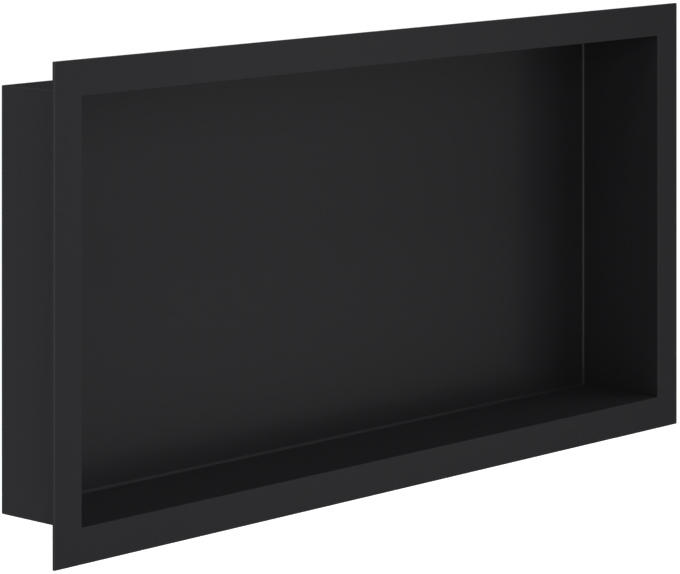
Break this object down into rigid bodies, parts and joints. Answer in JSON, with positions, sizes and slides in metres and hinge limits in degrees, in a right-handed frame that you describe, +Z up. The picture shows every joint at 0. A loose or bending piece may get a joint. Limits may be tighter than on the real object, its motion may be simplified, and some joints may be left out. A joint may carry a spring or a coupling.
{
  "type": "shower niche insert",
  "caption": "Shallow open-fronted box of matt black folded sheet steel with a flat flange round its mouth, set into a wall as a recessed shelf.",
  "frame": {"origin": "middle of the mouth, in the plane of the flange's back face, which is the face of the finished wall", "axes": "+X to the right as seen from the room, +Y into the wall, +Z up"},
  "size_m": [0.6, 0.07, 0.3],
  "materials": {
    "black_coat": "matt black powder coat on sheet steel"
  },
  "bodies": {
    "root": {"niche_insert": "black_coat"}
  },
  "joints": []
}
